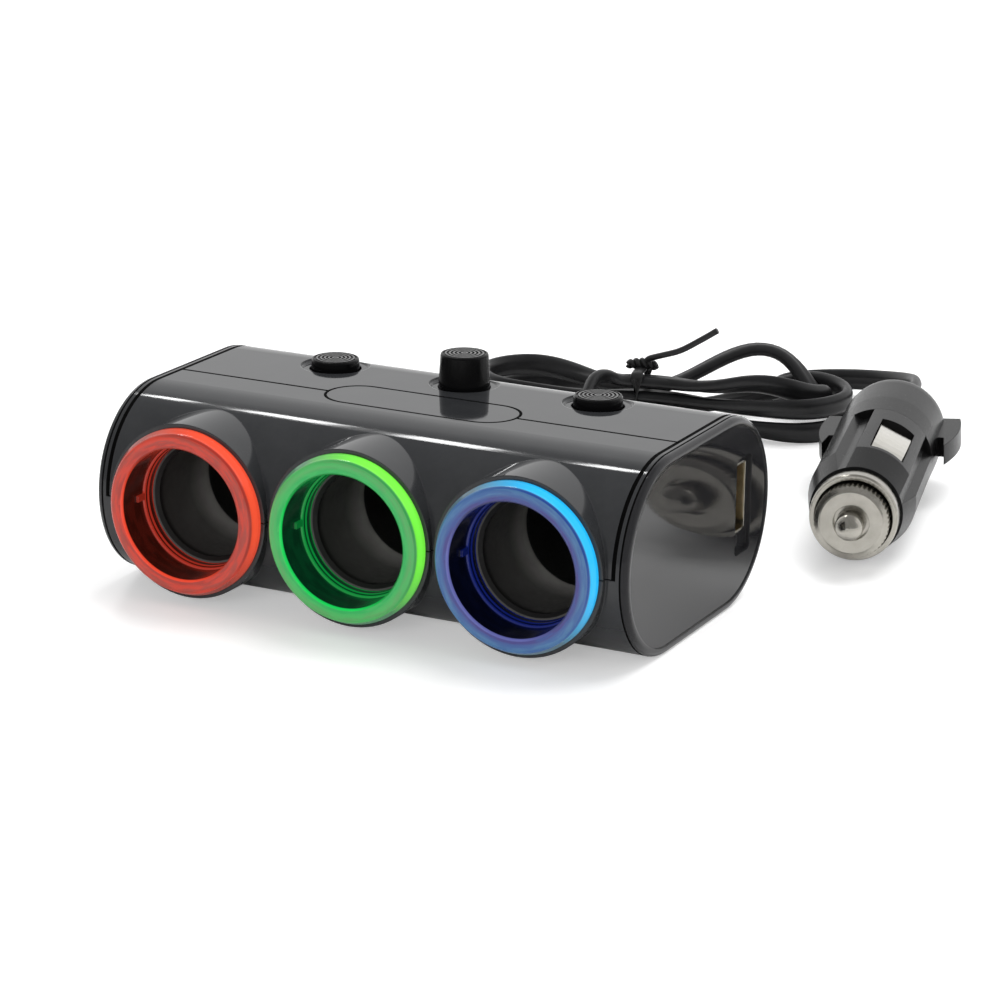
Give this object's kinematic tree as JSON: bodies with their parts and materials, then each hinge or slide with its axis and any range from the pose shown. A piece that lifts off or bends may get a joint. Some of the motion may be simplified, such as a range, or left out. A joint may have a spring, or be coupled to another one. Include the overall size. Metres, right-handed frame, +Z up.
{
  "type": "car power socket splitter",
  "caption": "Box with lit round power sockets in its front, push switches on top, a charging port in one end, and a coiled cord that ends in a fused plug.",
  "frame": {"origin": "centre of the housing's box on the surface it stands on, measured over the light rings and without the cord and plug", "axes": "+Z up, sockets face -Y, switches on top towards +Y, charging port on the +X end; the cord leaves the back and the plug lies beyond the +X end"},
  "size_m": [0.1263, 0.2016, 0.0428],
  "materials": {
    "shell_gloss": "polished charcoal",
    "ring_red_clear": "clear, lit",
    "ring_green_clear": "clear, lit",
    "ring_blue_clear": "clear, lit",
    "button_black": "polished, ringed top",
    "inner_black": "matte",
    "sleeve_steel": "dull grey",
    "contact_brass": "satin",
    "nickel": "bright nickel",
    "steel": "bright",
    "board_green": "matte",
    "component_grey": "matte",
    "tongue_white": "matte",
    "lamp_clear": "clear",
    "cord_black": "satin",
    "tie_black": "satin",
    "plug_black": "satin",
    "fuse_glass": "clear with metal ends"
  },
  "bodies": {
    "housing": {"lower_shell": "shell_gloss", "front_cover": "shell_gloss", "rear_cover": "shell_gloss", "left_end_cap": "shell_gloss", "right_end_cap": "shell_gloss", "badge_plate": "shell_gloss", "light_ring_red": "ring_red_clear", "light_ring_green": "ring_green_clear", "light_ring_blue": "ring_blue_clear", "socket_sleeve_red": "sleeve_steel", "socket_sleeve_green": "sleeve_steel", "socket_sleeve_blue": "sleeve_steel", "socket_cup_red": "inner_black", "socket_cup_green": "inner_black", "socket_cup_blue": "inner_black", "socket_base_red": "inner_black", "socket_base_green": "inner_black", "socket_base_blue": "inner_black", "centre_contact_red": "contact_brass", "centre_contact_green": "contact_brass", "centre_contact_blue": "contact_brass", "left_switch": "inner_black", "middle_switch": "inner_black", "right_switch": "inner_black", "main_board": "board_green", "board_components": "component_grey", "usb_board": "board_green", "usb_shell": "nickel", "usb_tongue": "tongue_white", "usb_contacts": "contact_brass", "positive_bus": "contact_brass", "ground_bus": "steel", "ring_leds": "lamp_clear", "housing_screws": "steel", "cord_gland": "cord_black", "cord_from_housing": "cord_black", "cord_hank": "cord_black", "cord_to_plug": "cord_black", "cord_tie": "tie_black", "plug_barrel": "plug_black", "plug_handle": "plug_black", "plug_strain_relief": "cord_black", "plug_collar": "nickel", "plug_pin_spring": "steel", "plug_contact_strips": "contact_brass"},
    "left_button": {"left_button": "button_black"},
    "middle_button": {"middle_button": "button_black"},
    "right_button": {"right_button": "button_black"},
    "plug_pin": {"plug_centre_pin": "nickel", "plug_fuse": "fuse_glass"},
    "side_contact": {"plug_side_contact": "nickel"},
    "far_contact": {"plug_far_contact": "nickel"},
    "nose_cap": {"plug_nose_cap": "nickel"}
  },
  "joints": [
    {"name": "middle_button_press", "type": "slide", "parent": "housing", "child": "middle_button", "axis": [0, 0, 1], "range_m": [-0.0044, 0], "stiffness_N_per_m": 200, "springref_m": 0.002},
    {"name": "left_button_release", "type": "slide", "parent": "housing", "child": "left_button", "axis": [0, 0, 1], "range_m": [0, 0.0044]},
    {"name": "right_button_release", "type": "slide", "parent": "housing", "child": "right_button", "axis": [0, 0, 1], "range_m": [0, 0.0044]},
    {"name": "plug_pin_press", "type": "slide", "parent": "housing", "child": "plug_pin", "axis": [-0.2419, 0.9703, 0], "range_m": [0, 0.0025], "stiffness_N_per_m": 300, "springref_m": -0.001},
    {"name": "plug_side_contact_press", "type": "hinge", "parent": "housing", "child": "side_contact", "pos_m": [0.05994, 0.08128, 0.01797], "axis": [0.8794, 0.2193, -0.4226], "range_deg": [0, 6], "stiffness_Nm_per_rad": 0.5, "springref_deg": -2.86},
    {"name": "plug_far_contact_press", "type": "hinge", "parent": "housing", "child": "far_contact", "pos_m": [0.05309, 0.07958, 0.00283], "axis": [-0.8794, -0.2193, 0.4226], "range_deg": [0, 6], "stiffness_Nm_per_rad": 0.5, "springref_deg": -2.86},
    {"name": "plug_nose_cap_turn", "type": "hinge", "parent": "housing", "child": "nose_cap", "pos_m": [0.065, 0.04637, 0.0104], "axis": [0.2419, -0.9703, 0], "continuous": true}
  ]
}
